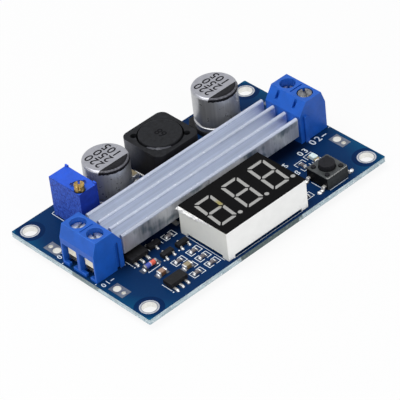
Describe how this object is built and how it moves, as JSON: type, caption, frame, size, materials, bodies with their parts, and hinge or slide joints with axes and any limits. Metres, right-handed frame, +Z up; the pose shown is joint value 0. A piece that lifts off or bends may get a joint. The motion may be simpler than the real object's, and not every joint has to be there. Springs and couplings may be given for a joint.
{
  "type": "boost converter module",
  "caption": "Step-up voltage converter board with screw terminals, finned heatsink, capacitors, choke, trimmer, digital voltmeter and push button.",
  "frame": {"origin": "middle of the mounting-hole pattern, on the board's underside", "axes": "+X from the input terminal to the output terminal, +Y from the display to the capacitors, +Z up out of the component side"},
  "size_m": [0.067, 0.042, 0.014],
  "materials": {
    "board": "navy solder resist on glass-fibre board",
    "tin": "tinned copper and solder",
    "terminal_blue": "blue moulded plastic",
    "plated_steel": "bright plated metal",
    "trimmer_blue": "blue moulded plastic",
    "brass": "turned brass",
    "leads": "tinned leads",
    "can": "satin aluminium",
    "black_moulding": "black moulded plastic",
    "ferrite": "dark ferrite",
    "copper_wire": "enamelled copper wire",
    "heatsink": "extruded aluminium",
    "thermal": "soft thermal pad",
    "display_white": "white moulded plastic",
    "display_black": "black face",
    "segment": "unlit cast segments",
    "carrier": "green circuit board",
    "button_cover": "dark cover",
    "dome": "sprung metal",
    "resistor": "black glazed chip",
    "chip_ceramic": "tan ceramic",
    "glass": "tinted glass",
    "lens": "pale cast lens"
  },
  "bodies": {
    "board": {"pcb": "board", "mounting_rings": "tin", "wire_pads": "tin", "solder_lands": "tin", "solder_joints": "tin", "input_terminal_housing": "terminal_blue", "output_terminal_housing": "terminal_blue", "input_terminal_contacts": "plated_steel", "output_terminal_contacts": "plated_steel", "trimmer_housing": "trimmer_blue", "trimmer_pins": "leads", "input_capacitor_can": "can", "input_capacitor_base": "black_moulding", "input_capacitor_leads": "leads", "output_capacitor_can": "can", "output_capacitor_base": "black_moulding", "output_capacitor_leads": "leads", "inductor_shield": "ferrite", "inductor_core": "ferrite", "inductor_winding": "copper_wire", "inductor_terminals": "leads", "heatsink": "heatsink", "thermal_pads": "thermal", "mosfet_body": "black_moulding", "mosfet_frame": "leads", "rectifier_body": "black_moulding", "rectifier_frame": "leads", "display_housing": "display_white", "display_face": "display_black", "display_segments": "segment", "display_carrier": "carrier", "display_pins": "leads", "button_base": "black_moulding", "button_cover": "button_cover", "button_dome": "dome", "button_leads": "leads", "chip_resistor_bodies": "resistor", "chip_resistor_ends": "leads", "chip_capacitor_bodies": "chip_ceramic", "chip_capacitor_ends": "leads", "regulator_bodies": "black_moulding", "regulator_leads": "leads", "transistor_bodies": "black_moulding", "transistor_leads": "leads", "glass_diode_body": "glass", "glass_diode_caps": "leads", "indicator_led_lens": "lens", "indicator_led_ends": "leads", "controller_bodies": "black_moulding", "controller_leads": "leads"},
    "input_positive_guard": {"input_positive_guard": "plated_steel"},
    "input_positive_screw": {"input_positive_screw": "plated_steel"},
    "input_negative_guard": {"input_negative_guard": "plated_steel"},
    "input_negative_screw": {"input_negative_screw": "plated_steel"},
    "output_positive_guard": {"output_positive_guard": "plated_steel"},
    "output_positive_screw": {"output_positive_screw": "plated_steel"},
    "output_negative_guard": {"output_negative_guard": "plated_steel"},
    "output_negative_screw": {"output_negative_screw": "plated_steel"},
    "trimmer_screw": {"trimmer_screw": "brass"},
    "button_plunger": {"button_plunger": "black_moulding"}
  },
  "joints": [
    {"name": "input_positive_clamp", "type": "slide", "parent": "board", "child": "input_positive_guard", "axis": [0, 0, 1], "range_m": [-0.00085, 0.0011]},
    {"name": "input_positive_turn", "type": "hinge", "parent": "input_positive_guard", "child": "input_positive_screw", "pos_m": [-0.02975, 0.00264, 0.0012], "axis": [0, 0, 1], "range_deg": [-615, 795]},
    {"name": "input_negative_clamp", "type": "slide", "parent": "board", "child": "input_negative_guard", "axis": [0, 0, 1], "range_m": [-0.00085, 0.0011]},
    {"name": "input_negative_turn", "type": "hinge", "parent": "input_negative_guard", "child": "input_negative_screw", "pos_m": [-0.02975, -0.00244, 0.0012], "axis": [0, 0, 1], "range_deg": [-615, 795]},
    {"name": "output_positive_clamp", "type": "slide", "parent": "board", "child": "output_positive_guard", "axis": [0, 0, 1], "range_m": [-0.00025, 0.0017]},
    {"name": "output_positive_turn", "type": "hinge", "parent": "output_positive_guard", "child": "output_positive_screw", "pos_m": [0.02975, 0.00304, 0.0012], "axis": [0, 0, 1], "range_deg": [-183, 1227]},
    {"name": "output_negative_clamp", "type": "slide", "parent": "board", "child": "output_negative_guard", "axis": [0, 0, 1], "range_m": [-0.0019, 0.00005]},
    {"name": "output_negative_turn", "type": "hinge", "parent": "output_negative_guard", "child": "output_negative_screw", "pos_m": [0.02975, -0.00204, 0.0012], "axis": [0, 0, 1], "range_deg": [-1371, 39]},
    {"name": "trimmer_turn", "type": "hinge", "parent": "board", "child": "trimmer_screw", "pos_m": [-0.02265, 0.01008, 0.0112], "axis": [0, 0, 1], "continuous": true},
    {"name": "button_press", "type": "slide", "parent": "board", "child": "button_plunger", "axis": [0, 0, -1], "range_m": [0, 0.00025], "stiffness_N_per_m": 6000, "deforming": ["button_dome"]}
  ],
  "couplings": [
    {"joint": "input_positive_turn", "follows": "input_positive_clamp", "rad_per_m": 12566},
    {"joint": "input_negative_turn", "follows": "input_negative_clamp", "rad_per_m": 12566},
    {"joint": "output_positive_turn", "follows": "output_positive_clamp", "rad_per_m": 12566},
    {"joint": "output_negative_turn", "follows": "output_negative_clamp", "rad_per_m": 12566}
  ]
}
